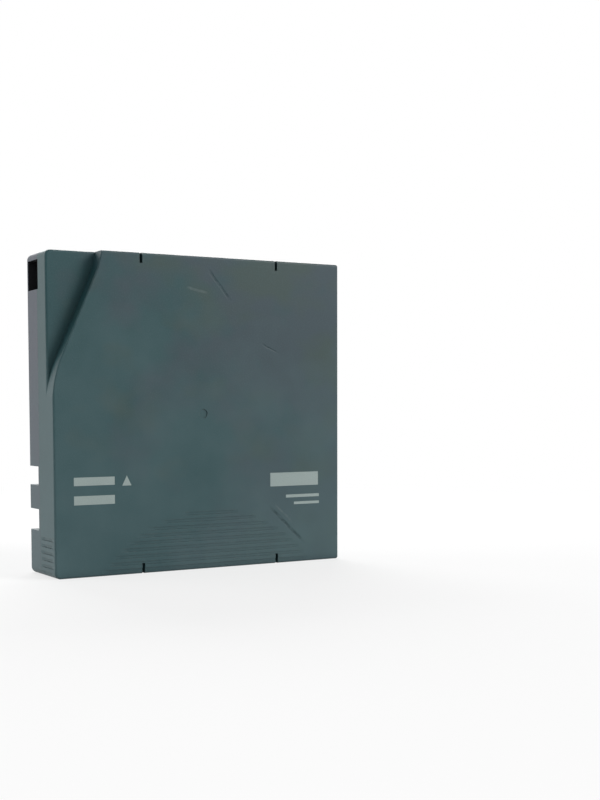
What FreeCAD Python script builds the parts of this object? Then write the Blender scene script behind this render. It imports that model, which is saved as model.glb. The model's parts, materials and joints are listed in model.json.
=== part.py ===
import FreeCAD, Part
import math
import os
from FreeCAD import Vector

# Half-inch single-reel data tape cartridge, millimetres.
# It stands on its rear (label) edge: +Z is the way it goes into a drive, the top shell's
# large face looks along -Y, the bottom shell's along +Y, and the tape leaves at +X.
# The origin is the centre of the edge it stands on. Levels through the thickness are y values.

# Case
case_width = 105.4
case_length = 102.0
case_thickness = 21.5
wall = 1.5
left_corner_radius = 2.0
right_corner_radius = 0.8
edge_radius = 0.7
bottom_depth = 9.0
lip_height = 0.8
lip_thickness = 0.6
lip_gap = 0.05
slide_gap = 0.3
seat_gap = 0.05
cut_past = 1.0

# Guide recess in the top face, front left
recess_depth = 5.2
recess_front_width = 16.9
recess_straight = 5.6
recess_straight_shift = 1.5
recess_length = 45.5
recess_bend_length = 12.5
recess_bend_width = 3.1
recess_chamfer = 0.35

# Slits at the front and rear edges of the top face
slit_width = 1.0
slit_length = 3.3
slit_depth = 2.0
slit_middle = 2.5
slit_spacing = 50.0
slit_pad = 1.6

# Grip grooves
groove_count = 9
groove_pitch = 2.14
groove_first = 1.3
groove_width = 1.0
groove_depth = 0.2
groove_run_out = 2.5
groove_arch_middle = 1.5
groove_arch_top = 19.6
groove_arch_radius = 50.0
side_groove_count = 6
side_groove_depth = 0.35
side_groove_margin = 0.9
side_groove_foot = 0.6
gate_radius = 1.5
gate_depth = 0.25

# Rear face
label_left_margin = 21.2
label_right_margin = 5.7
label_edge_margin = 2.55
label_depth = 0.4

# Side notches and catch slot in the bottom shell
notch_depth = 4.3
notch_roof = 1.0
notch_wall = 1.1
rear_notch_z = 14.2
rear_notch_width = 6.8
front_notch_z = 28.6
front_notch_width = 6.0
slot_front_wall = 2.4
slot_width = 9.3
slot_depth = 4.7
slot_above_parting = 0.8
slot_skin = 1.2

# Reel
reel_x = -0.5
reel_wall_gap = 1.5
reel_door_gap = 1.0
reel_top_gap = 1.85
unwound_width = 3.2
tape_side_gap = 0.2
hub_radius = 22.0
hub_wall = 2.4
hub_floor = 1.5
flange_thickness = 1.2
flange_edge = 0.9
collar_length = 1.6
collar_wall = 1.1
opening_margin = 1.0
foot_ring_width = 2.4
foot_ring_height = 0.9
press_gap = 0.03

# Chucking teeth under the hub and the brake teeth inside it
chuck_teeth = 60
chuck_margin = 1.0
chuck_length = 3.4
chuck_height = 1.7
chuck_root = 1.2
chuck_tip = 0.45
brake_teeth = 36
brake_margin = 2.4
brake_length = 3.8
brake_tooth_height = 1.4
brake_root = 1.5
brake_tip = 0.7
brake_pad_height = 1.55
brake_teeth_per_pad = 7
mesh_gap = 0.2

# Drive washer
washer_margin = 0.6
washer_inner = 5.2
washer_thickness = 1.0
washer_rivet = 1.0

# Release spider, brake button and their post
arm_count = 3
arm_width = 3.0
spider_thickness = 1.2
spider_centre = 4.6
leg_length = 2.2
leg_gap = 0.2
floor_gap = 0.2
release_stroke = 1.5
touch_gap = 0.1
brake_disc = 2.0
brake_rim = 0.5
boss_radius = 5.1
boss_length = 6.0
post_span = 7.2
post_web = 1.6
post_gap = 0.15
socket_depth = 5.2
nub_radius = 2.2
brake_spring_radius = 6.7
brake_spring_wire = 0.7
brake_spring_turns = 4
spring_cup_wall = 1.0
spring_cup_height = 1.8

# Door, its window and its spring
window_front_wall = 2.6
window_length = 17.4
window_edge_margin = 2.85
door_thickness = 1.3
door_overlap = 2.5
door_travel = 18.2
lug_length = 2.0
lug_height = 1.8
lug_above_parting = 4.65
lug_inset = 2.0
lug_proud = 1.2
guide_width = 0.8
guide_height = 1.5
guide_front_margin = 14.0
guide_length = 28.0
door_spring_radius = 1.0
door_spring_wire = 0.3
door_spring_turns = 11
spring_above_parting = 3.25
door_spring_length = 33.0
spring_seat_length = 1.5
spring_pin_radius = 0.5
spring_pin_length = 4.5
seat_width = 3.0

# Leader pin
pin_side_margin = 7.1
pin_front_margin = 9.5
pin_overhang = 1.675
pin_radius = 1.2
pin_flange_radius = 2.0
pin_flange = 0.8
pin_collar_radius = 1.7
pin_collar = 0.4
clamp_wall = 0.6
clamp_mouth = 1.3
leader_thickness = 0.15
pin_spring_thickness = 0.25
pin_spring_span = (60, 270)
saddle_wall = 1.0
saddle_span = (110, 250)

# Screws
screw_radius = 1.25
screw_length = 9.0
screw_head_radius = 2.1
screw_head = 1.4
screw_slot = 0.7
screw_slot_depth = 0.7
screw_gap = 0.15
post_radius = 3.2
post_height = 3.4
boss_outer = 2.6
head_sink = 2.4
rear_screw_inset = 5.6
front_screw_gap = 4.1
front_screw_angle = 44

# Datum holes in the bottom face
datum_radius = 2.0
datum_depth = 4.0
datum_wall = 0.8
datum_gap = 3.75
datum_angle = 34.8
datum_stretch = 0.6

# Corner walls round the reel
corner_wall = 1.0
corner_wall_gap = 1.3
corner_spans = ((205, 245), (308, 335), (108, 129))

# Write-protect slider
slider_side_margin = 10.1
slider_window_height = 5.0
slider_above_parting = 4.0
slider_tab = 4.2
slider_travel = 4.2
slider_body = 6.2
slider_thickness = 2.0
slider_ribs = 3
slider_guide = 1.0

# Memory board
board_length = 15.0
board_width = 9.0
board_thickness = 0.6
board_side_margin = 9.7
board_leg = 7.5
board_rib = 1.0
chip_size = 3.6
chip_height = 0.7

# Levels and edges worked out from the sizes above
half_width = case_width / 2
top_y = -case_thickness / 2
bottom_y = case_thickness / 2
top_inner_y = top_y + wall
bottom_inner_y = bottom_y - wall
parting_y = bottom_y - bottom_depth
recess_y = top_y + recess_depth
side_inner_x = half_width - wall
front_inner_z = case_length - wall
notches = (
    (rear_notch_z, rear_notch_z + rear_notch_width),
    (front_notch_z, front_notch_z + front_notch_width),
)
notch_high_y = parting_y + notch_roof
slot_high_z = case_length - slot_front_wall
slot_low_z = slot_high_z - slot_width
slot_roof_y = parting_y - slot_above_parting
window_high = case_length - window_front_wall
window_low = window_high - window_length
door_outer_x = side_inner_x - slide_gap
door_inner_x = door_outer_x - door_thickness
door_front_z = front_inner_z - slide_gap
door_rear_z = window_low - door_overlap
guide_x = door_inner_x - slide_gap
spring_axis_x = side_inner_x - door_spring_radius - door_spring_wire
spring_y = parting_y + spring_above_parting
spring_seat_z = door_rear_z - door_spring_length
slider_left = -half_width + slider_side_margin
slider_window_width = slider_tab + slider_travel + 2 * slide_gap
slider_y = parting_y + slider_above_parting
label_box = (
    -half_width + label_left_margin,
    half_width - label_right_margin,
    top_y + label_edge_margin,
    bottom_y - label_edge_margin,
)

# The reel is the largest that clears the front wall, the rear wall and the door's guide
reel_z = case_length / 2
reel_rim_radius = min(reel_z - wall - reel_wall_gap, guide_x - guide_width - reel_door_gap - reel_x)
tape_radius = reel_rim_radius - unwound_width
hub_opening_radius = hub_radius - foot_ring_width - opening_margin
chuck_outer = hub_opening_radius - chuck_margin
chuck_inner = chuck_outer - chuck_length
washer_outer = chuck_inner - washer_margin
rivet_circle = (washer_outer + washer_inner) / 2
hub_bore = hub_radius - hub_wall
brake_outer = hub_bore - brake_margin
brake_inner = brake_outer - brake_length
leg_circle = (chuck_inner + chuck_outer) / 2

foot_y = bottom_inner_y - slide_gap
lower_flange_out_y = foot_y - foot_ring_height
lower_flange_in_y = lower_flange_out_y - flange_thickness
tape_high_y = lower_flange_in_y - tape_side_gap
upper_flange_out_y = top_inner_y + reel_top_gap
upper_flange_in_y = upper_flange_out_y + flange_thickness
tape_low_y = upper_flange_in_y + tape_side_gap
tooth_root_y = lower_flange_out_y
hub_floor_y = tooth_root_y - hub_floor
chuck_tip_y = tooth_root_y + chuck_height
pad_y = hub_floor_y - brake_pad_height
hub_tooth_tip_y = pad_y - brake_tooth_height
brake_tip_y = pad_y - mesh_gap
brake_root_y = brake_tip_y - brake_tooth_height
brake_back_y = brake_root_y - brake_disc
boss_end_y = brake_back_y - boss_length
socket_floor_y = boss_end_y + socket_depth
spider_low_y = hub_floor_y - floor_gap
spider_high_y = spider_low_y - spider_thickness
pin_x = half_width - pin_side_margin
pin_z = case_length - pin_front_margin
pin_low_y = tape_low_y - pin_overhang
pin_high_y = tape_high_y + pin_overhang


def block(x_low, x_high, y_low, y_high, z_low, z_high):
    size = (x_high - x_low, y_high - y_low, z_high - z_low)
    return Part.makeBox(*size, Vector(x_low, y_low, z_low))


def disc(x, z, radius, y_low, y_high):
    return Part.makeCylinder(radius, y_high - y_low, Vector(x, y_low, z), Vector(0, 1, 0))


def ring(x, z, outer, inner, y_low, y_high):
    return disc(x, z, outer, y_low, y_high).cut(disc(x, z, inner, y_low - cut_past, y_high + cut_past))


def slab(face, y_low, y_high):
    lifted = face.copy()
    lifted.translate(Vector(0, y_low, 0))
    return lifted.extrude(Vector(0, y_high - y_low, 0))


def turned(shape, angle, x, z):
    # turn about an axis along Y through (x, z), anticlockwise seen from the top shell's side
    copy = shape.copy()
    copy.rotate(Vector(x, 0, z), Vector(0, -1, 0), angle)
    return copy


def polar(x, z, radius, angle):
    return (x + radius * math.cos(math.radians(angle)), z + radius * math.sin(math.radians(angle)))


def polygon_face(points):
    corners = [Vector(x, 0, z) for x, z in points]
    return Part.Face(Part.makePolygon(corners + [corners[0]]))


def sector(x, z, outer, inner, start, end, y_low, y_high):
    # part of a ring between two angles
    out_start, out_end = polar(x, z, outer, start), polar(x, z, outer, end)
    in_start, in_end = polar(x, z, inner, start), polar(x, z, inner, end)
    out_mid, in_mid = polar(x, z, outer, (start + end) / 2), polar(x, z, inner, (start + end) / 2)

    def at(point):
        return Vector(point[0], 0, point[1])

    edges = [
        Part.Arc(at(out_start), at(out_mid), at(out_end)).toShape(),
        Part.LineSegment(at(out_end), at(in_end)).toShape(),
        Part.Arc(at(in_end), at(in_mid), at(in_start)).toShape(),
        Part.LineSegment(at(in_start), at(out_start)).toShape(),
    ]
    return slab(Part.Face(Part.Wire(edges)), y_low, y_high)


def reel_sector(outer, inner, start, end, y_low, y_high):
    return sector(reel_x, reel_z, outer, inner, start, end, y_low, y_high)


def rounded_face(x_low, x_high, z_low, z_high, left, right):
    # left and right are the corner radii at x_low and x_high
    corners = (
        (x_high - right, z_high - right, right),
        (x_low + left, z_high - left, left),
        (x_low + left, z_low + left, left),
        (x_high - right, z_low + right, right),
    )
    edges = []
    ends = []
    for quarter, (x, z, radius) in enumerate(corners):
        spots = [polar(x, z, radius, quarter * 90 + step) for step in (0, 45, 90)]
        first, middle, last = [Vector(px, 0, pz) for px, pz in spots]
        edges.append(Part.Arc(first, middle, last).toShape())
        ends.append((first, last))
    for index, (first, last) in enumerate(ends):
        following = ends[(index + 1) % len(ends)][0]
        edges.append(Part.LineSegment(last, following).toShape())
    return Part.Face(Part.Wire(Part.__sortEdges__(edges)))


def case_face(inset):
    left = max(left_corner_radius - inset, edge_radius)
    right = max(right_corner_radius - inset, edge_radius)
    return rounded_face(-half_width + inset, half_width - inset, inset, case_length - inset, left, right)


def edges_at_level(shape, y):
    def flat(edge):
        return abs(edge.BoundBox.YMin - y) < 1e-4 and abs(edge.BoundBox.YMax - y) < 1e-4

    return [edge for edge in shape.Edges if flat(edge)]


def save(name, shape):
    shape.exportStep("parts/" + name + ".step")
    print(name, len(shape.Solids), "solid", round(shape.Volume, 1), "mm3", shape.isValid())


# ---- case ----

front_screw_circle = reel_rim_radius + front_screw_gap
screw_places = (
    (-half_width + rear_screw_inset, rear_screw_inset),
    (half_width - rear_screw_inset, rear_screw_inset),
    polar(reel_x, reel_z, front_screw_circle, 180 - front_screw_angle),
    polar(reel_x, reel_z, front_screw_circle, front_screw_angle),
)


def recess_face():
    # plan of the guide recess: a leaning straight run that bends into the side wall
    left = -half_width - cut_past
    front = case_length + cut_past
    front_x = -half_width + recess_front_width
    end_z = case_length - recess_length
    bend_z = end_z + recess_bend_length
    bend_x = -half_width + recess_bend_width
    knee = Vector(front_x - recess_straight_shift, 0, case_length - recess_straight)
    bend = Vector(bend_x, 0, bend_z)
    end = Vector(-half_width, 0, end_z)
    lean = (bend - knee).normalize()
    chord = end - bend
    side = Vector(-lean.z, 0, lean.x)
    reach = chord.dot(chord) / (2 * chord.dot(side))
    centre = bend + side * reach
    halfway = (bend + end) * 0.5 - centre
    middle = centre + halfway.normalize() * abs(reach)
    edges = [
        Part.LineSegment(Vector(left, 0, front), Vector(front_x, 0, front)).toShape(),
        Part.LineSegment(Vector(front_x, 0, front), Vector(front_x, 0, case_length)).toShape(),
        Part.LineSegment(Vector(front_x, 0, case_length), knee).toShape(),
        Part.LineSegment(knee, bend).toShape(),
        Part.Arc(bend, middle, end).toShape(),
        Part.LineSegment(end, Vector(left, 0, end_z - cut_past)).toShape(),
        Part.LineSegment(Vector(left, 0, end_z - cut_past), Vector(left, 0, front)).toShape(),
    ]
    return Part.Face(Part.Wire(edges))


def recess_cut():
    plan = recess_face()
    body = slab(plan, top_y - cut_past, recess_y)
    wide = plan.makeOffset2D(recess_chamfer, 2)
    wide.translate(Vector(0, top_y, 0))
    narrow = plan.copy()
    narrow.translate(Vector(0, top_y + recess_chamfer, 0))
    chamfer = Part.makeLoft([wide.OuterWire, narrow.OuterWire], True, True)
    return body.fuse(chamfer)


def recess_edge_cut():
    # rounds the outer edge of the recess floor
    depth = edge_radius + cut_past
    sharp = slab(case_face(0), recess_y, recess_y + depth)
    soft = sharp.makeFillet(edge_radius, edges_at_level(sharp, recess_y))
    return sharp.cut(soft).common(slab(recess_face(), recess_y, recess_y + depth))


def top_cavity():
    room = slab(case_face(wall), top_inner_y, parting_y + cut_past)
    kept = slab(recess_face().makeOffset2D(wall), top_inner_y - cut_past, recess_y + wall)
    rebate_y = parting_y - lip_height - lip_gap
    rebate = slab(case_face(wall - lip_thickness - lip_gap), rebate_y, parting_y + cut_past)
    return room.cut(kept).fuse(rebate)


def groove(start, end, inward, row):
    # shallow groove from start to end, both (x, y) on the surface, that runs out at its ends
    along = (end - start).normalize() * groove_run_out
    outward = inward * (-cut_past / inward.Length)
    points = (start, start + along + inward, end - along + inward, end, end + outward, start + outward)
    prism = Part.Face(Part.makePolygon(list(points) + [start])).extrude(Vector(0, 0, groove_width))
    prism.translate(Vector(0, 0, groove_level(row) - groove_width / 2))
    return prism


def groove_level(row):
    return groove_first + row * groove_pitch


def grip_grooves():
    grooves = []
    for row in range(groove_count):
        drop = groove_arch_top - groove_level(row)
        half = math.sqrt(drop * (2 * groove_arch_radius - drop))
        left = Vector(groove_arch_middle - half, top_y, 0)
        right = Vector(groove_arch_middle + half, top_y, 0)
        grooves.append(groove(left, right, Vector(0, groove_depth, 0), row))
    y_low = top_y + side_groove_margin
    y_high = parting_y - side_groove_foot
    for x in (-half_width, half_width):
        inward = Vector(-math.copysign(side_groove_depth, x), 0, 0)
        for row in range(side_groove_count):
            grooves.append(groove(Vector(x, y_low, 0), Vector(x, y_high, 0), inward, row))
    return grooves


def slit_blocks(half, y_low, y_high, outside, inside):
    # one block at each slit, from outside the edge of the top face to inside it
    blocks = []
    for x in (slit_middle - slit_spacing / 2, slit_middle + slit_spacing / 2):
        for low, high in ((-outside, inside), (case_length - inside, case_length + outside)):
            blocks.append(block(x - half, x + half, y_low, y_high, low, high))
    return blocks


def slit_cuts():
    return slit_blocks(slit_width / 2, top_y - cut_past, top_y + slit_depth, cut_past, slit_length)


def slit_pads():
    return slit_blocks(wall, top_inner_y - wall / 2, top_inner_y + slit_pad, -wall / 2, slit_length + wall)


def label_cut():
    return block(*label_box, -cut_past, label_depth)


def window_cut():
    y_low = top_y + window_edge_margin
    y_high = bottom_y - window_edge_margin
    x_low = side_inner_x - slide_gap / 2
    return block(x_low, half_width + cut_past, y_low, y_high, window_low, window_high)


def slot_cut():
    x_high = -half_width + slot_depth
    return block(-half_width - cut_past, x_high, slot_roof_y, bottom_y - slot_skin, slot_low_z, slot_high_z)


def guide_rib(y_low, y_high):
    high = case_length - guide_front_margin
    return block(guide_x - guide_width, guide_x, y_low, y_high, high - guide_length, high)


def pin_saddle(y_low, y_high):
    inner = pin_flange_radius + pin_spring_thickness + 2 * seat_gap
    return sector(pin_x, pin_z, inner + saddle_wall, inner, *saddle_span, y_low, y_high)


def corner_walls(y_low, y_high):
    inner = reel_rim_radius + corner_wall_gap
    outer = inner + corner_wall
    return [reel_sector(outer, inner, start, end, y_low, y_high) for start, end in corner_spans]


def brake_post():
    # cross-shaped post that keeps the brake button from turning
    tip_y = socket_floor_y - release_stroke - slide_gap
    half = post_span / 2
    bar = block(-half, half, top_inner_y - wall / 2, tip_y, -post_web / 2, post_web / 2)
    bar.translate(Vector(reel_x, 0, reel_z))
    return bar.fuse(turned(bar, 90, reel_x, reel_z))


def spring_cup():
    inner = brake_spring_radius + brake_spring_wire / 2 + slide_gap
    y_high = top_inner_y + spring_cup_height
    return ring(reel_x, reel_z, inner + spring_cup_wall, inner, top_inner_y - wall / 2, y_high)


def pocket(side, depth, y_low, y_high, z_low, z_high):
    # block that leaves walls round a pocket in one side of the case once the pocket is cut
    x_low, x_high = sorted((side * (half_width - wall / 2), side * (half_width - depth - notch_wall)))
    return block(x_low, x_high, y_low, y_high, z_low - notch_wall, z_high + notch_wall)


def top_shell():
    plate = slab(case_face(0), top_y, parting_y)
    plate = plate.makeFillet(edge_radius, edges_at_level(plate, top_y))
    shell = plate.cut([recess_cut(), recess_edge_cut()])
    shell = shell.cut(top_cavity())
    post_y = bottom_inner_y - post_height
    bosses = [disc(x, z, boss_outer, top_y + wall / 2, post_y) for x, z in screw_places]
    inside = slab(case_face(wall / 2), top_y + wall / 2, post_y)
    inside = inside.cut(slab(recess_face().makeOffset2D(wall / 2), top_y, recess_y + wall / 2))
    added = [boss.common(inside) for boss in bosses]
    added += slit_pads()
    added += corner_walls(top_inner_y - wall / 2, parting_y)
    added += [brake_post(), spring_cup()]
    added += [guide_rib(top_inner_y - wall / 2, top_inner_y + guide_height)]
    added += [pin_saddle(top_inner_y - wall / 2, pin_low_y + pin_flange)]
    added += [pocket(-1, slot_depth, slot_roof_y - notch_wall, slot_roof_y, slot_low_z, slot_high_z)]
    shell = shell.fuse(added)
    bore = screw_radius + seat_gap
    cuts = [disc(x, z, bore, post_y - screw_length, post_y + cut_past) for x, z in screw_places]
    cuts += [disc(reel_x, reel_z, gate_radius, top_y - cut_past, top_y + gate_depth)]
    cuts += grip_grooves() + slit_cuts()
    cuts += [label_cut(), window_cut(), slot_cut()]
    return shell.cut(cuts).removeSplitter()


def notch_cut(side, z_low, z_high):
    x_low, x_high = sorted((side * (half_width + cut_past), side * (half_width - notch_depth)))
    return block(x_low, x_high, notch_high_y, bottom_y + cut_past, z_low, z_high)


def datum_holes(radius, y_low, y_high):
    # a round hole on the left and one stretched sideways on the right
    left, z = polar(reel_x, reel_z, reel_rim_radius + datum_gap, 180 - datum_angle)
    right, z = polar(reel_x, reel_z, reel_rim_radius + datum_gap, datum_angle)
    low, high = right - datum_stretch, right + datum_stretch
    middle = block(low, high, y_low, y_high, z - radius, z + radius)
    ends = [disc(x, z, radius, y_low, y_high) for x in (low, high)]
    return [disc(left, z, radius, y_low, y_high), middle.fuse(ends).removeSplitter()]


def bottom_outline():
    plate = slab(case_face(0), parting_y, bottom_y)
    plate = plate.makeFillet(edge_radius, edges_at_level(plate, bottom_y))
    room = slab(case_face(wall), parting_y - cut_past, bottom_inner_y)
    lip_y = parting_y - lip_height
    lip = slab(case_face(wall - lip_thickness), lip_y, parting_y + lip_height)
    return plate.fuse(lip).cut(room.fuse(slab(case_face(wall), lip_y - cut_past, parting_y)))


def slider_guide_rib():
    z_low = wall + slide_gap + slider_thickness + slide_gap
    x_low = slider_left - slider_guide
    x_high = slider_left + slider_window_width + slider_guide
    y_high = bottom_inner_y + wall / 2
    return block(x_low, x_high, slider_y + slide_gap, y_high, z_low, z_low + slider_guide)


def slider_window():
    half = slider_window_height / 2
    x_high = slider_left + slider_window_width
    return block(slider_left, x_high, slider_y - half, slider_y + half, -cut_past, wall + seat_gap)


def board_ribs():
    # two gussets whose slopes carry the board at 45 degrees
    low = bottom_inner_y + wall / 2
    points = (
        Vector(0, low, wall / 2),
        Vector(0, bottom_inner_y - board_leg, wall / 2),
        Vector(0, bottom_inner_y - board_leg, wall),
        Vector(0, bottom_inner_y, wall + board_leg),
        Vector(0, low, wall + board_leg),
    )
    face = Part.Face(Part.makePolygon(list(points) + [points[0]]))
    ribs = []
    board_x = half_width - board_side_margin - board_length
    for x in (board_x + board_rib, board_x + board_length - 2 * board_rib):
        rib = face.extrude(Vector(board_rib, 0, 0))
        rib.translate(Vector(x, 0, 0))
        ribs.append(rib)
    return ribs


def lug_slot():
    # lets the door's lug run rearwards past the window
    x_low = side_inner_x - slide_gap / 2
    half = lug_height / 2 + slide_gap
    y = parting_y + lug_above_parting
    z_low = window_high - lug_inset - lug_length - door_travel - slide_gap
    return block(x_low, half_width + cut_past, y - half, y + half, z_low, window_low + cut_past)


def spring_peg(z):
    # peg inside the end of the door spring, from z on
    return Part.makeCylinder(spring_pin_radius, spring_pin_length, Vector(spring_axis_x, spring_y, z))


def bottom_shell():
    shell = bottom_outline()
    post_y = bottom_inner_y - post_height
    sunk_y = bottom_inner_y + wall / 2
    added = [disc(x, z, post_radius, post_y, sunk_y) for x, z in screw_places]
    added += datum_holes(datum_radius + datum_wall, bottom_y - datum_depth - datum_wall, sunk_y)
    for side in (-1, 1):
        added += [pocket(side, notch_depth, parting_y, sunk_y, low, high) for low, high in notches]
    added += [pocket(-1, slot_depth, slot_roof_y + seat_gap, sunk_y, slot_low_z, slot_high_z)]
    added += corner_walls(parting_y, sunk_y)
    added += [guide_rib(bottom_inner_y - guide_height, sunk_y)]
    added += [pin_saddle(pin_high_y - pin_flange, sunk_y)]
    added += [slider_guide_rib()] + board_ribs()
    x_low = spring_axis_x - seat_width / 2
    y_low = spring_y - seat_width / 2
    seat_z = spring_seat_z - spring_seat_length
    added += [block(x_low, half_width - wall / 2, y_low, sunk_y, seat_z, spring_seat_z), spring_peg(seat_z)]
    above = slab(case_face(wall - lip_thickness), parting_y - lip_height, parting_y)
    inside = slab(case_face(wall / 2), parting_y, sunk_y).fuse(above)
    shell = shell.fuse([piece.common(inside) for piece in added])
    cuts = [disc(reel_x, reel_z, hub_opening_radius, parting_y, bottom_y + cut_past)]
    for x, z in screw_places:
        cuts += [disc(x, z, screw_radius + screw_gap, post_y - cut_past, bottom_y + cut_past)]
        cuts += [disc(x, z, screw_head_radius + screw_gap, bottom_y - head_sink, bottom_y + cut_past)]
    cuts += datum_holes(datum_radius, bottom_y - datum_depth, bottom_y + cut_past)
    for side in (-1, 1):
        cuts += [notch_cut(side, low, high) for low, high in notches]
    cuts += [lug_slot(), label_cut(), window_cut(), slot_cut(), slider_window()]
    return shell.cut(cuts).removeSplitter()


def case_screws():
    screws = []
    seat_y = bottom_y - head_sink
    for x, z in screw_places:
        shaft = disc(x, z, screw_radius, seat_y - screw_length, seat_y + screw_head / 2)
        head = disc(x, z, screw_head_radius, seat_y, seat_y + screw_head)
        half = screw_head_radius - screw_slot
        slot_y = seat_y + screw_head - screw_slot_depth
        bar = block(x - half, x + half, slot_y, bottom_y, z - screw_slot / 2, z + screw_slot / 2)
        screws.append(shaft.fuse(head).cut([bar, turned(bar, 90, x, z)]))
    return Part.makeCompound(screws)


# ---- reel ----


def tooth(inner, outer, y_root, y_tip, root_width, tip_width, angle):
    # one straight-sided face tooth that points from y_root to y_tip
    sink = 0.1 if y_tip < y_root else -0.1
    points = [
        Vector(inner, y_root + sink, -root_width / 2),
        Vector(inner, y_root, -root_width / 2),
        Vector(inner, y_tip, -tip_width / 2),
        Vector(inner, y_tip, tip_width / 2),
        Vector(inner, y_root, root_width / 2),
        Vector(inner, y_root + sink, root_width / 2),
    ]
    prism = Part.Face(Part.makePolygon(points + [points[0]])).extrude(Vector(outer - inner, 0, 0))
    prism.translate(Vector(reel_x, 0, reel_z))
    return turned(prism, angle, reel_x, reel_z)


def arm_angles():
    return [90 + index * 360 / arm_count for index in range(arm_count)]


def rivet_places():
    # posts of the hub that hold the washer, between the spider's legs
    return [polar(reel_x, reel_z, rivet_circle, angle + 180 / arm_count) for angle in arm_angles()]


def revolve_section(points):
    # points are (radius, y) about the reel axis
    corners = [Vector(reel_x + radius, y, reel_z) for radius, y in points]
    face = Part.Face(Part.makePolygon(corners + [corners[0]]))
    return face.revolve(Vector(reel_x, 0, reel_z), Vector(0, 1, 0), 360)


def reel_hub():
    foot_inner = hub_radius - foot_ring_width
    thin = flange_thickness - flange_edge
    body = revolve_section(
        (
            (0, hub_floor_y),
            (hub_bore, hub_floor_y),
            (hub_bore, upper_flange_in_y),
            (hub_radius, upper_flange_in_y),
            (hub_radius, lower_flange_in_y),
            (reel_rim_radius, lower_flange_in_y),
            (reel_rim_radius, lower_flange_out_y - thin),
            (hub_radius, lower_flange_out_y),
            (hub_radius, foot_y),
            (foot_inner, foot_y),
            (foot_inner, tooth_root_y),
            (0, tooth_root_y),
        )
    )
    added = []
    for index in range(chuck_teeth):
        at = index * 360 / chuck_teeth
        added.append(tooth(chuck_inner, chuck_outer, tooth_root_y, chuck_tip_y, chuck_root, chuck_tip, at))
    rim_y = chuck_tip_y - chuck_height / 2
    rim_inner = washer_outer + press_gap
    rim_outer = chuck_inner + chuck_root / 2
    sunk_y = hub_floor_y + hub_floor / 2
    added.append(ring(reel_x, reel_z, rim_outer, rim_inner, sunk_y, rim_y))
    pitch = 360 / brake_teeth
    span = brake_teeth_per_pad * pitch
    pad_outer = brake_outer + press_gap
    pad_inner = brake_inner - press_gap
    for angle in arm_angles():
        start = angle + 180 / arm_count - span / 2
        added.append(reel_sector(pad_outer, pad_inner, start, start + span, pad_y, sunk_y))
        for index in range(brake_teeth_per_pad):
            at = start + (index + 0.5) * pitch
            added.append(tooth(brake_inner, brake_outer, pad_y, hub_tooth_tip_y, brake_root, brake_tip, at))
    added += [disc(x, z, washer_rivet, sunk_y, tooth_root_y + washer_thickness) for x, z in rivet_places()]
    cuts = []
    for angle in arm_angles():
        half = arm_width / 2 + leg_gap
        window = block(
            leg_circle - leg_length / 2 - leg_gap,
            leg_circle + leg_length / 2 + leg_gap,
            hub_floor_y - cut_past,
            chuck_tip_y + cut_past,
            -half,
            half,
        )
        window.translate(Vector(reel_x, 0, reel_z))
        cuts.append(turned(window, angle, reel_x, reel_z))
    return body.fuse(added).cut(cuts).removeSplitter()


def upper_flange():
    thin = flange_thickness - flange_edge
    collar = hub_bore - press_gap
    return revolve_section(
        (
            (collar - collar_wall, upper_flange_out_y),
            (hub_radius, upper_flange_out_y),
            (reel_rim_radius, upper_flange_out_y + thin),
            (reel_rim_radius, upper_flange_in_y),
            (collar, upper_flange_in_y),
            (collar, upper_flange_in_y + collar_length),
            (collar - collar_wall, upper_flange_in_y + collar_length),
        )
    )


def drive_washer():
    plate = ring(reel_x, reel_z, washer_outer, washer_inner, tooth_root_y, tooth_root_y + washer_thickness)
    hole = washer_rivet + press_gap
    y_high = tooth_root_y + washer_thickness + cut_past
    return plate.cut([disc(x, z, hole, tooth_root_y - cut_past, y_high) for x, z in rivet_places()])


def tape_pack():
    return ring(reel_x, reel_z, tape_radius, hub_radius + seat_gap, tape_low_y, tape_high_y)


def release_spider():
    plate = disc(reel_x, reel_z, spider_centre, spider_high_y, spider_low_y)
    pieces = []
    for angle in arm_angles():
        outer = leg_circle + leg_length / 2
        arm = block(0, outer, spider_high_y, spider_low_y, -arm_width / 2, arm_width / 2)
        tip_y = chuck_tip_y - seat_gap
        leg = block(outer - leg_length, outer, spider_high_y, tip_y, -arm_width / 2, arm_width / 2)
        limb = arm.fuse(leg)
        limb.translate(Vector(reel_x, 0, reel_z))
        pieces.append(turned(limb, angle, reel_x, reel_z))
    return plate.fuse(pieces).removeSplitter()


def brake_button():
    outer = brake_outer + brake_rim
    plate = disc(reel_x, reel_z, outer, brake_back_y, brake_root_y)
    boss = disc(reel_x, reel_z, boss_radius, boss_end_y, brake_back_y + brake_disc / 2)
    reach = spider_high_y - touch_gap
    nub = Part.makeSphere(nub_radius, Vector(reel_x, reach - nub_radius, reel_z))
    nub = nub.common(disc(reel_x, reel_z, nub_radius, brake_root_y - brake_disc / 2, bottom_y))
    pitch = 360 / brake_teeth
    start = arm_angles()[0] + 180 / arm_count - brake_teeth_per_pad * pitch / 2
    added = [boss, nub]
    for index in range(brake_teeth):
        at = start + index * pitch
        added.append(tooth(brake_inner, brake_outer, brake_root_y, brake_tip_y, brake_root, brake_tip, at))
    half = post_span / 2 + post_gap
    web = post_web / 2 + post_gap
    bar = block(-half, half, boss_end_y - cut_past, socket_floor_y, -web, web)
    bar.translate(Vector(reel_x, 0, reel_z))
    return plate.fuse(added).cut([bar, turned(bar, 90, reel_x, reel_z)]).removeSplitter()


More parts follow.
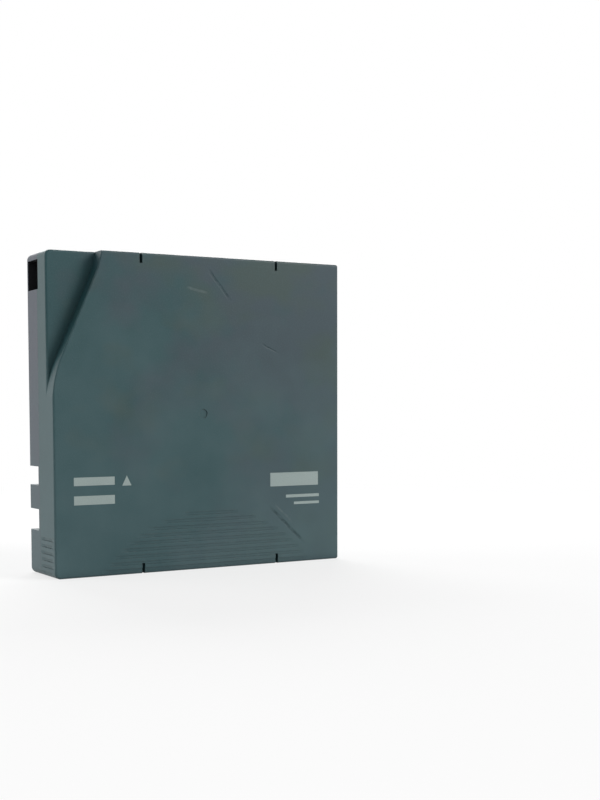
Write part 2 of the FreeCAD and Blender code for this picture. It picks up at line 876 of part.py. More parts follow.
def coil(radius, wire, length, turns):
    # open helical spring along +Z, its ends inside the given length
    pitch = (length - wire) / turns
    slope = math.atan2(pitch, 2 * math.pi * radius)
    along = Vector(0, math.cos(slope), math.sin(slope))
    section = Part.Wire(Part.makeCircle(wire / 2, Vector(radius, 0, 0), along))
    spring = Part.Wire(Part.makeHelix(pitch, pitch * turns, radius)).makePipeShell([section], True, True)
    spring.translate(Vector(0, 0, wire / 2))
    return spring


def brake_spring():
    length = brake_back_y - top_inner_y - 2 * seat_gap
    spring = coil(brake_spring_radius, brake_spring_wire, length, brake_spring_turns)
    spring.rotate(Vector(0, 0, 0), Vector(1, 0, 0), 90)
    spring.translate(Vector(reel_x, brake_back_y - seat_gap, reel_z))
    return spring


# ---- door ----


def slide_door():
    low = top_inner_y + slide_gap
    high = bottom_inner_y - slide_gap
    panel = block(door_inner_x, door_outer_x, low, high, door_rear_z, door_front_z)
    lug_high = window_high - lug_inset
    lug_y = parting_y + lug_above_parting
    half = lug_height / 2
    x_low = door_outer_x - door_thickness / 2
    x_high = door_outer_x + lug_proud
    lug = block(x_low, x_high, lug_y - half, lug_y + half, lug_high - lug_length, lug_high)
    half = seat_width / 2
    seat_z = door_rear_z + spring_seat_length
    seat = block(spring_axis_x - half, door_outer_x, spring_y - half, spring_y + half, door_rear_z, seat_z)
    peg = spring_peg(seat_z - spring_pin_length)
    return panel.fuse([lug, seat, peg]).removeSplitter()


def door_spring():
    length = door_rear_z - spring_seat_z - 2 * seat_gap
    spring = coil(door_spring_radius, door_spring_wire, length, door_spring_turns)
    spring.translate(Vector(spring_axis_x, spring_y, spring_seat_z + seat_gap))
    return spring


# ---- leader pin ----


def leader_pin():
    shaft = disc(pin_x, pin_z, pin_radius, pin_low_y, pin_high_y)
    low = tape_low_y - seat_gap
    high = tape_high_y + seat_gap
    added = [
        disc(pin_x, pin_z, pin_flange_radius, pin_low_y, pin_low_y + pin_flange),
        disc(pin_x, pin_z, pin_flange_radius, pin_high_y - pin_flange, pin_high_y),
        disc(pin_x, pin_z, pin_collar_radius, low - pin_collar, low),
        disc(pin_x, pin_z, pin_collar_radius, high, high + pin_collar),
    ]
    return shaft.fuse(added).removeSplitter()


def clamp_radius():
    return pin_radius + press_gap + clamp_wall


def tape_clamp():
    sleeve = ring(pin_x, pin_z, clamp_radius(), pin_radius + press_gap, tape_low_y, tape_high_y)
    half = clamp_mouth / 2
    reach = pin_x + 2 * clamp_radius()
    mouth = block(pin_x, reach, tape_low_y - cut_past, tape_high_y + cut_past, pin_z - half, pin_z + half)
    return sleeve.cut(mouth)


def leader_tape():
    # straight run that touches the roll and the clamp on their front sides
    roll = tape_radius + slide_gap
    small = clamp_radius() + seat_gap
    across = Vector(pin_x - reel_x, 0, pin_z - reel_z)
    heading = math.degrees(math.atan2(across.z, across.x))
    lean = heading + math.degrees(math.acos((roll - small) / across.Length))
    start = polar(reel_x, reel_z, roll, lean)
    end = polar(pin_x, pin_z, small, lean)
    out_start = polar(*start, leader_thickness, lean)
    out_end = polar(*end, leader_thickness, lean)
    return slab(polygon_face((start, end, out_end, out_start)), tape_low_y, tape_high_y)


def pin_spring(y_low, y_high):
    inner = pin_flange_radius + seat_gap
    outer = inner + pin_spring_thickness
    return sector(pin_x, pin_z, outer, inner, *pin_spring_span, y_low, y_high)


# ---- small parts ----


def write_protect_slider():
    z_low = wall + slide_gap
    half = slider_window_height / 2 - slide_gap
    tab_left = slider_left + slide_gap
    middle = tab_left + slider_tab / 2
    y_low = slider_y - half
    y_high = slider_y + half
    body = block(
        middle - slider_body / 2,
        middle + slider_body / 2,
        parting_y + slide_gap,
        bottom_inner_y - slide_gap,
        z_low,
        z_low + slider_thickness,
    )
    tab = block(tab_left, tab_left + slider_tab, y_low, y_high, label_depth, z_low + slider_thickness / 2)
    slots = []
    pitch = slider_tab / (slider_ribs + 1)
    slot_z = label_depth + groove_depth
    for index in range(slider_ribs):
        x = tab_left + (index + 0.75) * pitch
        slots.append(block(x, x + pitch / 2, y_low - cut_past, y_high + cut_past, -cut_past, slot_z))
    return body.fuse(tab).cut(slots).removeSplitter()


def board_frame(shape):
    # lays a piece drawn flat about its middle onto the 45 degree gussets
    x = half_width - board_side_margin - board_length / 2
    middle = Vector(x, bottom_inner_y - board_leg / 2, wall + board_leg / 2)
    copy = shape.copy()
    copy.rotate(Vector(0, 0, 0), Vector(1, 0, 0), -45)
    copy.translate(middle)
    return copy


def memory_board():
    low = -seat_gap - board_thickness
    flat = block(-board_length / 2, board_length / 2, low, -seat_gap, -board_width / 2, board_width / 2)
    return board_frame(flat)


def memory_chip():
    high = -seat_gap - board_thickness
    half = chip_size / 2
    return board_frame(block(-half, half, high - chip_height, high, -half, half))


os.makedirs("parts", exist_ok=True)
save("top_shell", top_shell())
save("bottom_shell", bottom_shell())
save("case_screws", case_screws())
save("reel_hub", reel_hub())
save("upper_flange", upper_flange())
save("drive_washer", drive_washer())
save("tape_pack", tape_pack())
save("release_spider", release_spider())
save("brake_button", brake_button())
save("brake_spring", brake_spring())
save("slide_door", slide_door())
save("door_spring", door_spring())
save("leader_pin", leader_pin())
save("tape_clamp", tape_clamp())
save("leader_tape", leader_tape())
save("pin_spring_top", pin_spring(pin_low_y, pin_low_y + pin_flange))
save("pin_spring_bottom", pin_spring(pin_high_y - pin_flange, pin_high_y))
save("write_protect_slider", write_protect_slider())
save("memory_board", memory_board())
save("memory_chip", memory_chip())
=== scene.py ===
import json
import math

import bmesh
import bpy
from mathutils import Matrix, Vector


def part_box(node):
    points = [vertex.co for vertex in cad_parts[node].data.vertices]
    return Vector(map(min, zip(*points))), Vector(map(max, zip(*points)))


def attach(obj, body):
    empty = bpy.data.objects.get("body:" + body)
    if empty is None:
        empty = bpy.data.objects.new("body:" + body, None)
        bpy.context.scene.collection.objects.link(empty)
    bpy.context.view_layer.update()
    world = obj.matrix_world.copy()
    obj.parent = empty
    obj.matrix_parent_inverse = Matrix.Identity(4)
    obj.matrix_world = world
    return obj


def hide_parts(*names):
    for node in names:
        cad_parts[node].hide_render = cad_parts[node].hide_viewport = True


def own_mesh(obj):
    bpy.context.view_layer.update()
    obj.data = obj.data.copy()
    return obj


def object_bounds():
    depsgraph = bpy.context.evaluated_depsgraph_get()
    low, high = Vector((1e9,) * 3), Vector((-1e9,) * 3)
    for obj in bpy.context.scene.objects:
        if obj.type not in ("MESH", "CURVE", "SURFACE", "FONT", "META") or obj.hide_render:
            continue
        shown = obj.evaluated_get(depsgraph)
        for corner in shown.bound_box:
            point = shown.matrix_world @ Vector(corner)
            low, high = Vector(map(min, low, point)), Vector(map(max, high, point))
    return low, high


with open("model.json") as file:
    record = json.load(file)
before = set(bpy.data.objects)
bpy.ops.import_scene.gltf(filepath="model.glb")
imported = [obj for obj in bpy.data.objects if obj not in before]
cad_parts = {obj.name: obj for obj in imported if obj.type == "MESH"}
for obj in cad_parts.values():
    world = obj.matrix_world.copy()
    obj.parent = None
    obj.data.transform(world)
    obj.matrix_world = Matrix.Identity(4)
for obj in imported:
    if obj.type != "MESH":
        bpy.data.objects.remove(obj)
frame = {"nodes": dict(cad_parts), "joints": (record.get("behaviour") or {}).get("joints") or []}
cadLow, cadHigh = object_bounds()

mm = 0.001
topLevel = cadLow.y / mm
caseWidth = (cadHigh.x - cadLow.x) / mm
caseLength = (cadHigh.z - cadLow.z) / mm
print("stage: frame loaded")


# shader expressions

class Wire:
    # an output socket that can be added, multiplied and compared like a number
    def __init__(self, shop, socket):
        self.shop = shop
        self.socket = socket

    def math(self, operation, first, second=None):
        values = {0: first} if second is None else {0: first, 1: second}
        return self.shop.node("ShaderNodeMath", {"operation": operation}, values)

    def __add__(self, other):
        return self.math("ADD", self, other)

    def __radd__(self, other):
        return self.math("ADD", other, self)

    def __sub__(self, other):
        return self.math("SUBTRACT", self, other)

    def __rsub__(self, other):
        return self.math("SUBTRACT", other, self)

    def __mul__(self, other):
        return self.math("MULTIPLY", self, other)

    def __rmul__(self, other):
        return self.math("MULTIPLY", other, self)

    def __truediv__(self, other):
        return self.math("DIVIDE", self, other)

    def __rtruediv__(self, other):
        return self.math("DIVIDE", other, self)

    def __pow__(self, other):
        return self.math("POWER", self, other)

    def __gt__(self, other):
        return self.math("GREATER_THAN", self, other)

    def __lt__(self, other):
        return self.math("LESS_THAN", self, other)

    def __abs__(self):
        return self.math("ABSOLUTE", self)

    def least(self, other):
        return self.math("MINIMUM", self, other)


class Shop:
    # the node tree of a new material, or of a world that is handed in
    def __init__(self, name, holder=None):
        self.material = holder or bpy.data.materials.new(name)
        self.material.use_nodes = True
        self.tree = self.material.node_tree
        self.shader = self.tree.nodes.get("Principled BSDF")

    def node(self, kind, settings=None, values=None, out=0):
        made = self.tree.nodes.new(kind)
        for key, value in (settings or {}).items():
            if key == "stops":
                self.setStops(made.color_ramp, value)
            else:
                setattr(made, key, value)
        for key, value in (values or {}).items():
            self.feed(made.inputs[key], value)
        return Wire(self, made.outputs[out])

    def also(self, wire, name):
        # another output of the node that a wire comes from
        return Wire(self, wire.socket.node.outputs[name])

    def setStops(self, ramp, stops):
        while len(ramp.elements) > len(stops):
            ramp.elements.remove(ramp.elements[-1])
        while len(ramp.elements) < len(stops):
            ramp.elements.new(1.0)
        for element, (place, shade) in zip(ramp.elements, stops):
            element.position = place
            element.color = (shade, shade, shade, 1.0)

    def feed(self, socket, value):
        if isinstance(value, Wire):
            self.tree.links.new(value.socket, socket)
        elif isinstance(value, tuple) and len(value) == 3 and len(socket.default_value) == 4:
            socket.default_value = (*value, 1.0)
        else:
            socket.default_value = value

    def place(self, scale=(1, 1, 1)):
        # object coordinates in millimetres, stretched by scale
        spot = self.node("ShaderNodeTexCoord", out="Object")
        stretch = tuple(share / mm for share in scale)
        return self.node("ShaderNodeVectorMath", {"operation": "MULTIPLY"}, {0: spot, 1: stretch})

    def noise(self, size, detail=4.0, rough=0.55, scale=(1, 1, 1)):
        # size is the width of a patch in millimetres
        return self.node(
            "ShaderNodeTexNoise",
            {"noise_dimensions": "3D"},
            {"Vector": self.place(scale), "Scale": 1.0 / size, "Detail": detail, "Roughness": rough},
        )

    def ramp(self, factor, stops):
        return self.node("ShaderNodeValToRGB", {"stops": stops}, {0: factor})

    def mix(self, factor, first, second):
        settings = {"data_type": "RGBA", "blend_type": "MIX"}
        return self.node("ShaderNodeMix", settings, {0: factor, 6: first, 7: second}, out=2)

    def bump(self, height, depth):
        # depth in millimetres
        values = {"Height": height, "Distance": depth * mm, "Strength": 1.0}
        return self.node("ShaderNodeBump", None, values)

    def finish(self, **values):
        for key, value in values.items():
            self.feed(self.shader.inputs[key.replace("_", " ")], value)
        return self.material


# the case plastic: dark grey green with a fine eroded texture, rubbed along its edges

caseFinish = {
    "green": (0.008, 0.053, 0.06),
    "mauve": (0.025, 0.05, 0.063),
    "olive": (0.026, 0.054, 0.048),
    "dusty": (0.058, 0.112, 0.122),
    "worn": (0.13, 0.17, 0.17),
    # colour of the scuffs and the seam, also used as painted shade deep in slots and at the foot of walls
    "grimeAndShade": (0.004, 0.025, 0.031),
    "unlit": (0.002, 0.003, 0.005),
    "mauveSize": 30.0,
    "mauveStops": ((0.42, 0.0), (0.6, 1.0)),
    "oliveSize": 22.0,
    "oliveStretch": (1.0, 1.0, 1.3),
    "oliveStops": ((0.54, 0.0), (0.7, 0.8)),
    "lean": 0.38,  # more mauve and olive towards the door side
    "oliveLean": 0.6,
    "dustSize": 24.0,
    "dustStops": ((0.4, 0.0), (0.9, 0.9)),
    "dustBase": 0.2,
    "dustPatch": 0.6,
    "bottomLean": 0.5,  # lighter towards the bottom, darker towards the top
    "bottomLeanLevel": 0.6,
    "speckStops": ((0.5, 0.0), (0.8, 0.3)),
    "grain": 0.4,
    "grainDepth": 0.03,
    "rough": 0.48,
    "cloudRough": 0.12,
    "wearRough": 0.08,
    "scuffRough": 0.1,
    "unlitRough": 0.4,
    "shine": 0.42,
    "edge": 0.5,
    "edgeStops": ((0.01, 0.0), (0.12, 1.0)),
    "wearSize": 2.2,
    "wearStops": ((0.44, 0.0), (0.66, 1.0)),
    # painted shade deep in slots and at the foot of walls: its reach in millimetres, its ramp and its
    # share
    "creviceShade": 4.0,
    "creviceShadeStops": ((0.25, 1.0), (0.85, 0.0)),
    "wearShare": 0.4,
    "rubShare": 0.35,
    "scuffShare": 0.75,
    "scuffDepth": 2.0,  # in grain depths, as the seam's is
    "creviceShadeShare": 0.6,
    "seamShare": 0.5,
    "seamLevel": 1.75,
    "seamWidth": 0.2,
    "seamDepth": 2.0,
    # strokes on the top face: start, end and width
    "scuffs": (
        ((1.6, 97.8), (10.1, 87.9), 1.3),
        ((24.4, 19.6), (38.8, 6.2), 1.5),
        ((21.6, 74.2), (28.4, 71.2), 0.75),
    ),
    "rubs": (
        ((-6.6, 91.8), (1.4, 90.2), 1.2),
        ((26.6, 20.2), (34.0, 13.5), 0.9),
    ),
    # the inside of the catch slot, which no light reaches
    "slot": ((-52.6, -47.5), (0.9, 9.7), (90.2, 99.7)),
}
# the bottom shell: the same finish, a little greyer and bluer
lowerFinish = dict(caseFinish, green=(0.039, 0.051, 0.074), mauve=(0.054, 0.057, 0.081))


def edgeMask(shop, radius, stops):
    # 1 on edges that stick out or turn in, 0 on flat faces
    soft = shop.node("ShaderNodeBevel", {"samples": 4}, {"Radius": radius * mm})
    plain = shop.node("ShaderNodeNewGeometry", out="True Normal")
    both = {0: soft, 1: plain}
    between = shop.node("ShaderNodeVectorMath", {"operation": "DOT_PRODUCT"}, both, out="Value")
    return shop.ramp(1.0 - between, stops)


def creviceShadeMask(shop, reach, stops):
    # painted shade: 1 deep in slots and at the foot of walls, where shade falls, 0 on open faces
    openness = shop.node("ShaderNodeAmbientOcclusion", {"samples": 8}, {"Distance": reach * mm}, out="AO")
    return shop.ramp(openness, stops)


strokeLook = {
    "shakeSize": 2.4, "shake": 0.8,
    "pressSize": 1.7, "pressStops": ((0.34, 0.25), (0.56, 1.0)),
    "tipFrom": 0.3, "sideFrom": 0.15, "reach": 0.3,
}


def strokeMask(shop, strokes, look=strokeLook):
    # soft uneven strokes on the top face
    split = shop.node("ShaderNodeSeparateXYZ", None, {0: shop.place()})
    x = shop.also(split, "X")
    z = shop.also(split, "Z")
    y = shop.also(split, "Y")
    shake = (shop.noise(look["shakeSize"], 3.0) - 0.5) * look["shake"]
    press = shop.ramp(shop.noise(look["pressSize"], 4.0, 0.65), look["pressStops"])
    total = 0.0
    for start, end, width in strokes:
        runX = end[0] - start[0]
        runZ = end[1] - start[1]
        length = math.hypot(runX, runZ)
        along = ((x - start[0]) * runX + (z - start[1]) * runZ) / length
        off = abs(((x - start[0]) * runZ - (z - start[1]) * runX) / length + shake)
        beyond = abs(along - length / 2)
        tip = {"Value": beyond, "From Min": length * look["tipFrom"], "From Max": length / 2}
        side = {"Value": off, "From Min": width * look["sideFrom"], "From Max": width / 2}
        inTip = 1.0 - shop.node("ShaderNodeMapRange", None, tip)
        inSide = 1.0 - shop.node("ShaderNodeMapRange", None, side)
        total = inTip * inSide + total
    return total * press * (y < topLevel + look["reach"])


def casePlastic(name, look):
    shop = Shop(name)
    split = shop.node("ShaderNodeSeparateXYZ", None, {0: shop.place()})
    x = shop.also(split, "X")
    y = shop.also(split, "Y")
    z = shop.also(split, "Z")
    lean = x * (look["lean"] / caseWidth)
    cloud = shop.noise(look["dustSize"], 3.0)
    fine = shop.noise(look["grain"], 3.0, 0.6)
    mauveCloud = shop.noise(look["mauveSize"], 3.0, 0.6) + lean
    mauve = shop.ramp(mauveCloud, look["mauveStops"])
    oliveCloud = shop.noise(look["oliveSize"], 2.0, 0.5, look["oliveStretch"]) + lean * look["oliveLean"]
    olive = shop.ramp(oliveCloud, look["oliveStops"])
    hue = shop.mix(olive, shop.mix(mauve, look["green"], look["mauve"]), look["olive"])
    # lighter towards the bottom and darker towards the top, added to the dust patches
    towardsBottom = (look["bottomLeanLevel"] - z * (1.0 / caseLength)) * look["bottomLean"]
    dustAndLean = shop.ramp(cloud * look["dustPatch"] + look["dustBase"] + towardsBottom, look["dustStops"])
    dusty = shop.mix(dustAndLean, hue, look["dusty"])
    speckled = shop.mix(shop.ramp(fine, look["speckStops"]), dusty, look["dusty"])
    patch = shop.noise(look["wearSize"], 5.0, 0.7)
    wear = edgeMask(shop, look["edge"], look["edgeStops"]) * shop.ramp(patch, look["wearStops"])
    rubs = strokeMask(shop, look["rubs"])
    rubbed = shop.mix(wear * look["wearShare"] + rubs * look["rubShare"], speckled, look["worn"])
    scuffs = strokeMask(shop, look["scuffs"])
    seam = abs(y - look["seamLevel"]) < look["seamWidth"] / 2
    unlit = 1.0
    for level, (low, high) in zip((x, y, z), look["slot"]):
        unlit = (level > low) * (level < high) * unlit
    # painted shade: darker deep in slots and at the foot of walls, where little light reaches
    creviceShade = creviceShadeMask(shop, look["creviceShade"], look["creviceShadeStops"])
    grimeAndShade = scuffs * look["scuffShare"] + creviceShade * look["creviceShadeShare"]
    dark = (grimeAndShade + seam * look["seamShare"]).least(1.0)
    grimyAndShaded = shop.mix(dark, rubbed, look["grimeAndShade"])
    colour = shop.mix(unlit, grimyAndShaded, look["unlit"])
    rough = look["rough"] + (cloud - 0.5) * look["cloudRough"] - wear * look["wearRough"]
    rough = rough + scuffs * look["scuffRough"] + unlit * look["unlitRough"]
    height = fine - scuffs * look["scuffDepth"] - seam * look["seamDepth"]
    relief = shop.bump(height, look["grainDepth"])
    return shop.finish(Base_Color=colour, Roughness=rough, Specular_IOR_Level=look["shine"], Normal=relief)


# other plastics

plainLooks = {
    "door": {
        "colour": (0.033, 0.063, 0.069), "vary": (0.044, 0.075, 0.081),
        "patch": 12.0, "rough": 0.45, "grain": 0.4, "depth": 0.01, "shine": 0.42,
    },
    "hub": {
        "colour": (0.42, 0.43, 0.42), "vary": (0.5, 0.5, 0.48),
        "patch": 9.0, "rough": 0.42, "grain": 0.7, "depth": 0.015,
    },
    "flange": {
        "colour": (0.34, 0.36, 0.37), "vary": (0.4, 0.42, 0.42),
        "patch": 14.0, "rough": 0.35, "grain": 0.9, "depth": 0.01,
    },
    "acetal": {
        "colour": (0.68, 0.68, 0.64), "vary": (0.75, 0.74, 0.7),
        "patch": 5.0, "rough": 0.36, "grain": 0.6, "depth": 0.01,
    },
    "slider": {
        "colour": (0.42, 0.07, 0.025), "vary": (0.5, 0.1, 0.04),
        "patch": 3.0, "rough": 0.4, "grain": 0.3, "depth": 0.01,
    },
    "clamp": {
        "colour": (0.02, 0.02, 0.022), "vary": (0.035, 0.035, 0.036),
        "patch": 3.0, "rough": 0.5, "grain": 0.3, "depth": 0.01,
    },
    "chip": {
        "colour": (0.008, 0.008, 0.009), "vary": (0.02, 0.02, 0.02),
        "patch": 2.0, "rough": 0.25, "grain": 0.5, "depth": 0.01,
    },
}


plainShare = {"stops": ((0.3, 0.0), (0.7, 1.0)), "cloudRough": 0.2, "shine": 0.5}


def plainPlastic(name, look, share=plainShare):
    shop = Shop(name)
    cloud = shop.noise(look["patch"], 4.0)
    fine = shop.noise(look["grain"], 3.0)
    colour = shop.mix(shop.ramp(cloud, share["stops"]), look["colour"], look["vary"])
    rough = look["rough"] + (cloud - 0.5) * share["cloudRough"]
    shine = look.get("shine", share["shine"])
    relief = shop.bump(fine, look["depth"])
    return shop.finish(Base_Color=colour, Roughness=rough, Specular_IOR_Level=shine, Normal=relief)


# metals

metalLooks = {
    "screw": {
        "colour": (0.4, 0.4, 0.41), "dull": (0.22, 0.22, 0.23),
        "patch": 3.0, "rough": 0.35, "line": 0.4, "stretch": 1.0, "depth": 0.006,
    },
    "pin": {
        "colour": (0.7, 0.7, 0.71), "dull": (0.5, 0.5, 0.5),
        "patch": 3.0, "rough": 0.12, "line": 0.6, "stretch": 6.0, "depth": 0.006,
    },
    "spring": {
        "colour": (0.5, 0.5, 0.51), "dull": (0.3, 0.3, 0.31),
        "patch": 3.0, "rough": 0.28, "line": 0.5, "stretch": 1.0, "depth": 0.006,
    },
}


metalShare = {"stops": ((0.35, 0.0), (0.75, 1.0)), "lineRough": 0.15}


def metal(name, look, share=metalShare):
    shop = Shop(name)
    cloud = shop.noise(look["patch"], 4.0)
    line = shop.noise(look["line"], 4.0, 0.6, (1.0, look["stretch"], 1.0))
    colour = shop.mix(shop.ramp(cloud, share["stops"]), look["colour"], look["dull"])
    rough = look["rough"] + line * share["lineRough"]
    relief = shop.bump(line, look["depth"])
    return shop.finish(Base_Color=colour, Metallic=1.0, Roughness=rough, Normal=relief)


# finishes that run in rings round the reel's axis

hubLow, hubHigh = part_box("reel_hub")
reelCentre = (Vector(hubLow) + Vector(hubHigh)) / 2


def ringNoise(shop, size):
    split = shop.node("ShaderNodeSeparateXYZ", None, {0: shop.place()})
    across = shop.also(split, "X") - reelCentre.x / mm
    along = shop.also(split, "Z") - reelCentre.z / mm
    radius = (across * across + along * along) ** 0.5
    rings = {"W": radius, "Scale": 1.0 / size, "Detail": 4.0}
    return shop.node("ShaderNodeTexNoise", {"noise_dimensions": "1D"}, rings)


washerLook = {
    "colour": (0.5, 0.5, 0.49), "dull": (0.36, 0.36, 0.36),
    "patch": 6.0, "hazeStops": ((0.4, 0.0), (0.75, 0.4)), "hazeRough": 0.08,
    "ring": 0.4, "ringStops": ((0.35, 0.0), (0.65, 0.6)), "ringRough": 0.15,
    "rough": 0.2, "depth": 0.02,
}


def turnedSteel(name, look):
    shop = Shop(name)
    rings = ringNoise(shop, look["ring"])
    haze = shop.ramp(shop.noise(look["patch"], 4.0), look["hazeStops"])
    turned = shop.ramp(rings, look["ringStops"])
    colour = shop.mix((haze + turned).least(1.0), look["colour"], look["dull"])
    rough = look["rough"] + rings * look["ringRough"] + haze * look["hazeRough"]
    relief = shop.bump(rings, look["depth"])
    return shop.finish(Base_Color=colour, Metallic=1.0, Roughness=rough, Normal=relief)


# the tape: dark film, its wound edge shows as fine rings
tapeLook = {
    "colour": (0.02, 0.014, 0.012), "edge": (0.055, 0.042, 0.036),
    "ring": 0.22, "ringRough": 0.2, "rough": 0.22, "depth": 0.02,
}


def tapeFilm(name, look):
    shop = Shop(name)
    turns = ringNoise(shop, look["ring"])
    colour = shop.mix(turns, look["colour"], look["edge"])
    rough = look["rough"] + turns * look["ringRough"]
    return shop.finish(Base_Color=colour, Roughness=rough, Normal=shop.bump(turns, look["depth"]))


boardLook = {
    "colour": (0.015, 0.09, 0.035), "track": (0.2, 0.12, 0.04),
    "pitch": 0.9, "trackStops": ((0.72, 0.0), (0.8, 1.0)), "trackShare": 0.6,
    "rough": 0.35, "trackRough": 0.1, "depth": 0.02,
}


def boardFace(name, look):
    shop = Shop(name)
    bands = {"Vector": shop.place(), "Scale": 1.0 / look["pitch"], "Distortion": 0.0}
    wave = shop.node("ShaderNodeTexWave", {"wave_type": "BANDS", "bands_direction": "X"}, bands)
    track = shop.ramp(wave, look["trackStops"])
    colour = shop.mix(track * look["trackShare"], look["colour"], look["track"])
    rough = look["rough"] + track * look["trackRough"]
    return shop.finish(Base_Color=colour, Roughness=rough, Normal=shop.bump(track, look["depth"]))


# pad printing

printLook = {
    "colour": (0.33, 0.4, 0.385), "thin": (0.2, 0.27, 0.265),
    "speck": 0.22, "coverStops": ((0.34, 0.7), (0.52, 0.0)),
    "rough": 0.55, "coverRough": 0.2, "depth": 0.006,
}


def printInk(name, look):
    shop = Shop(name)
    cover = shop.noise(look["speck"], 4.0, 0.6)
    colour = shop.mix(shop.ramp(cover, look["coverStops"]), look["colour"], look["thin"])
    rough = look["rough"] + (cover - 0.5) * look["coverRough"]
    return shop.finish(Base_Color=colour, Roughness=rough, Normal=shop.bump(cover, look["depth"]))


finishes = {
    "washer": turnedSteel("turnedSteel", washerLook),
    "case": casePlastic("caseEroded", caseFinish),
    "lower": casePlastic("caseErodedLower", lowerFinish),
    "print": printInk("padPrint", printLook),
    "tape": tapeFilm("tapeFilm", tapeLook),
    "board": boardFace("boardGreen", boardLook),
}
for word, look in plainLooks.items():
    finishes[word] = plainPlastic(word + "Plastic", look)
for word, look in metalLooks.items():
    finishes[word] = metal(word + "Metal", look)

dress = {
    "top_shell": "case",
    "bottom_shell": "lower",
    "case_screws": "screw",
    "reel_hub": "hub",
    "upper_flange": "flange",
    "drive_washer": "washer",
    "tape_pack": "tape",
    "leader_tape": "tape",
    "release_spider": "acetal",
    "brake_button": "acetal",
    "brake_spring": "spring",
    "slide_door": "door",
    "door_spring": "spring",
    "leader_pin": "pin",
    "tape_clamp": "clamp",
    "pin_spring_top": "spring",
    "pin_spring_bottom": "spring",
    "write_protect_slider": "slider",
    "memory_board": "board",
    "memory_chip": "chip",
}
for node, finish in dress.items():
    mesh = frame["nodes"][node].data
    mesh.materials.clear()
    mesh.materials.append(finishes[finish])
print("stage: finishes on", len(dress), "nodes")


# copies of the springs, fixed to the case in place of their own nodes

coils = {
    "closingDoorSpring": {"node": "door_spring", "joint": "door_slide", "axis": (0.0, 0.0, 1.0)},
    "closingBrakeSpring": {"node": "brake_spring", "joint": "brake_lift", "axis": (0.0, 1.0, 0.0)},
}


def closingCoil(name, look):
    # a copy of the spring's own mesh at its full length; the joint's travel is worked out but not applied
    low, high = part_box(look["node"])
    length = (Vector(high) - Vector(low)).dot(Vector(look["axis"]))
    joint = next(entry for entry in frame["joints"] if entry["name"] == look["joint"])
    travel = max(abs(limit) for limit in joint["range_m"])
    piece = bpy.data.objects.new(name, frame["nodes"][look["node"]].data.copy())
    bpy.context.scene.collection.objects.link(piece)
    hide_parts(look["node"])
    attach(piece, "case")
    1.0 - travel / length
    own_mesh(piece)


for name, look in coils.items():
    closingCoil(name, look)


# printed marks on the top face: plain bars and one arrow, no lettering

marks = {
    "thickness": 0.02,
    "bars": (
        (-46.2, -32.4, 28.8, 31.4),
        (-46.2, -32.4, 22.8, 25.6),
        (25.0, 44.2, 26.2, 30.8),
        (31.2, 44.6, 22.2, 23.2),
        (34.4, 44.6, 19.8, 20.7),
    ),
    "arrow": (-29.8, 28.4, 3.2),
}


def flatPrint(name, outlines, depth):
    # thin raised shapes lying on the top face
    made = bmesh.new()
    face = cadLow.y
    for outline in outlines:
        rings = []
        for y in (face, face - depth * mm):
            rings.append([made.verts.new((x * mm, y, z * mm)) for x, z in outline])
        made.faces.new(rings[1])
        for index in range(len(outline)):
            after = (index + 1) % len(outline)
            made.faces.new((rings[0][index], rings[0][after], rings[1][after], rings[1][index]))
    bmesh.ops.recalc_face_normals(made, faces=made.faces)
    mesh = bpy.data.meshes.new(name)
    made.to_mesh(mesh)
    made.free()
    piece = bpy.data.objects.new(name, mesh)
    bpy.context.scene.collection.objects.link(piece)
    mesh.materials.append(finishes["print"])
    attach(piece, "case")


outlines = []
for left, right, low, high in marks["bars"]:
    outlines.append([(left, low), (right, low), (right, high), (left, high)])
left, low, size = marks["arrow"]
outlines.append([(left, low), (left + size, low), (left + size / 2, low + size)])
flatPrint("printedMarks", outlines, marks["thickness"])
print("stage: marks printed")


# floor, lights and camera

room = {
    "floorHalf": 4.0,
    "floorColour": (0.9, 0.9, 0.9),
    "floorRough": 0.9,
    "shadowShare": 0.72,
    "shadowReach": (130.0, 420.0),
    "ambient": 0.28,
}
# watts, sides and places in metres
lamps = {
    "key": {"power": 27.0, "size": (1.0, 1.0), "spot": (1.4, -1.32, 1.1)},
    "side": {"power": 2.2, "size": (0.6, 0.6), "spot": (-0.65, 0.45, 0.3)},
    "rim": {"power": 5.0, "size": (0.6, 0.3), "spot": (0.2, 0.6, 0.6)},
}
lampAim = (0.0, 0.0, 0.05)


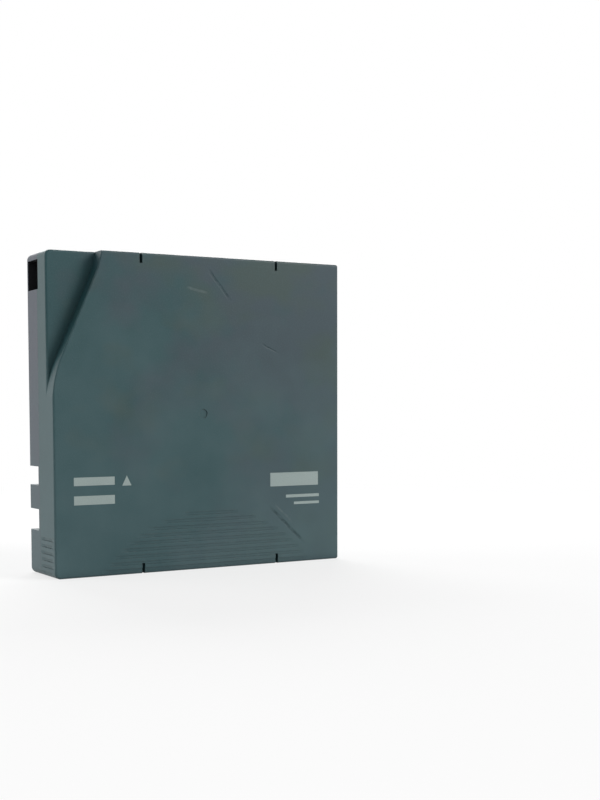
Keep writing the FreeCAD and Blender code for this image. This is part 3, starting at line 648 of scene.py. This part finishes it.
def buildFloor(look):
    mesh = bpy.data.meshes.new("floor")
    half = look["floorHalf"]
    corners = [(-half, -half, 0), (half, -half, 0), (half, half, 0), (-half, half, 0)]
    mesh.from_pydata(corners, [], [(0, 1, 2, 3)])
    floor = bpy.data.objects.new("floor", mesh)
    bpy.context.scene.collection.objects.link(floor)
    shop = Shop("paleFloor")
    path = shop.node("ShaderNodeLightPath", out="Is Camera Ray")
    seen = path + shop.also(path, "Is Glossy Ray") + shop.also(path, "Is Transmission Ray")
    away = shop.node("ShaderNodeVectorMath", {"operation": "LENGTH"}, {0: shop.place()}, out="Value")
    near = {
        "Value": away,
        "From Min": look["shadowReach"][0], "From Max": look["shadowReach"][1],
        "To Min": look["shadowShare"], "To Max": 1.0,
    }
    share = shop.node("ShaderNodeMapRange", {"interpolation_type": "SMOOTHSTEP"}, near)
    white = shop.node("ShaderNodeEmission", None, {"Color": (1.0, 1.0, 1.0), "Strength": 1.0})
    shop.finish(Base_Color=look["floorColour"], Roughness=look["floorRough"])
    plain = Wire(shop, shop.shader.outputs[0])
    blended = shop.node("ShaderNodeMixShader", None, {0: (seen > 0.5) * share, 1: plain, 2: white})
    shop.feed(shop.tree.nodes["Material Output"].inputs["Surface"], blended)
    mesh.materials.append(shop.material)


def buildWorld(look):
    world = bpy.data.worlds.new("paleRoom")
    bpy.context.scene.world = world
    shop = Shop("paleRoom", world)
    back = shop.tree.nodes["Background"]
    # seen and mirrored as white, but it lights the object at the ambient level
    lights = shop.node("ShaderNodeLightPath", out="Is Diffuse Ray")
    shop.feed(back.inputs["Color"], (1.0, 1.0, 1.0))
    shop.feed(back.inputs["Strength"], 1.0 - lights * (1.0 - look["ambient"]))


def addLamp(name, look):
    light = bpy.data.lights.new(name, "AREA")
    light.energy = look["power"]
    light.shape = "RECTANGLE"
    light.size, light.size_y = look["size"]
    lamp = bpy.data.objects.new(name, light)
    lamp.location = look["spot"]
    lamp.rotation_euler = (Vector(lampAim) - Vector(look["spot"])).to_track_quat("-Z", "Y").to_euler()
    bpy.context.scene.collection.objects.link(lamp)


cameraView = {
    "spot": (-188.3, -361.6, 51.8),
    "yaw": -28.92,
    "pitch": -3.25,
    "roll": 0.35,
    "lens": 54.675,
    "sensor": 36.0,
    "shift": (0.1, 0.1),
}


def buildCamera(look):
    data = bpy.data.cameras.new("camera")
    data.sensor_width = look["sensor"]
    data.lens = look["lens"]
    data.shift_x, data.shift_y = look["shift"]
    camera = bpy.data.objects.new("camera", data)
    camera.location = Vector(look["spot"]) * mm
    turn = Matrix.Rotation(math.radians(look["yaw"]), 3, "Z")
    turn = turn @ Matrix.Rotation(math.radians(look["pitch"]), 3, "X")
    turn = turn @ Matrix.Rotation(math.radians(look["roll"]), 3, "Y")
    turn = turn @ Matrix.Rotation(math.radians(90), 3, "X")
    camera.rotation_euler = turn.to_euler()
    bpy.context.scene.collection.objects.link(camera)
    bpy.context.scene.camera = camera


buildFloor(room)
buildWorld(room)
for name, look in lamps.items():
    addLamp(name, look)
buildCamera(cameraView)
bpy.context.scene.view_settings.view_transform = "Standard"
print("stage: lit")
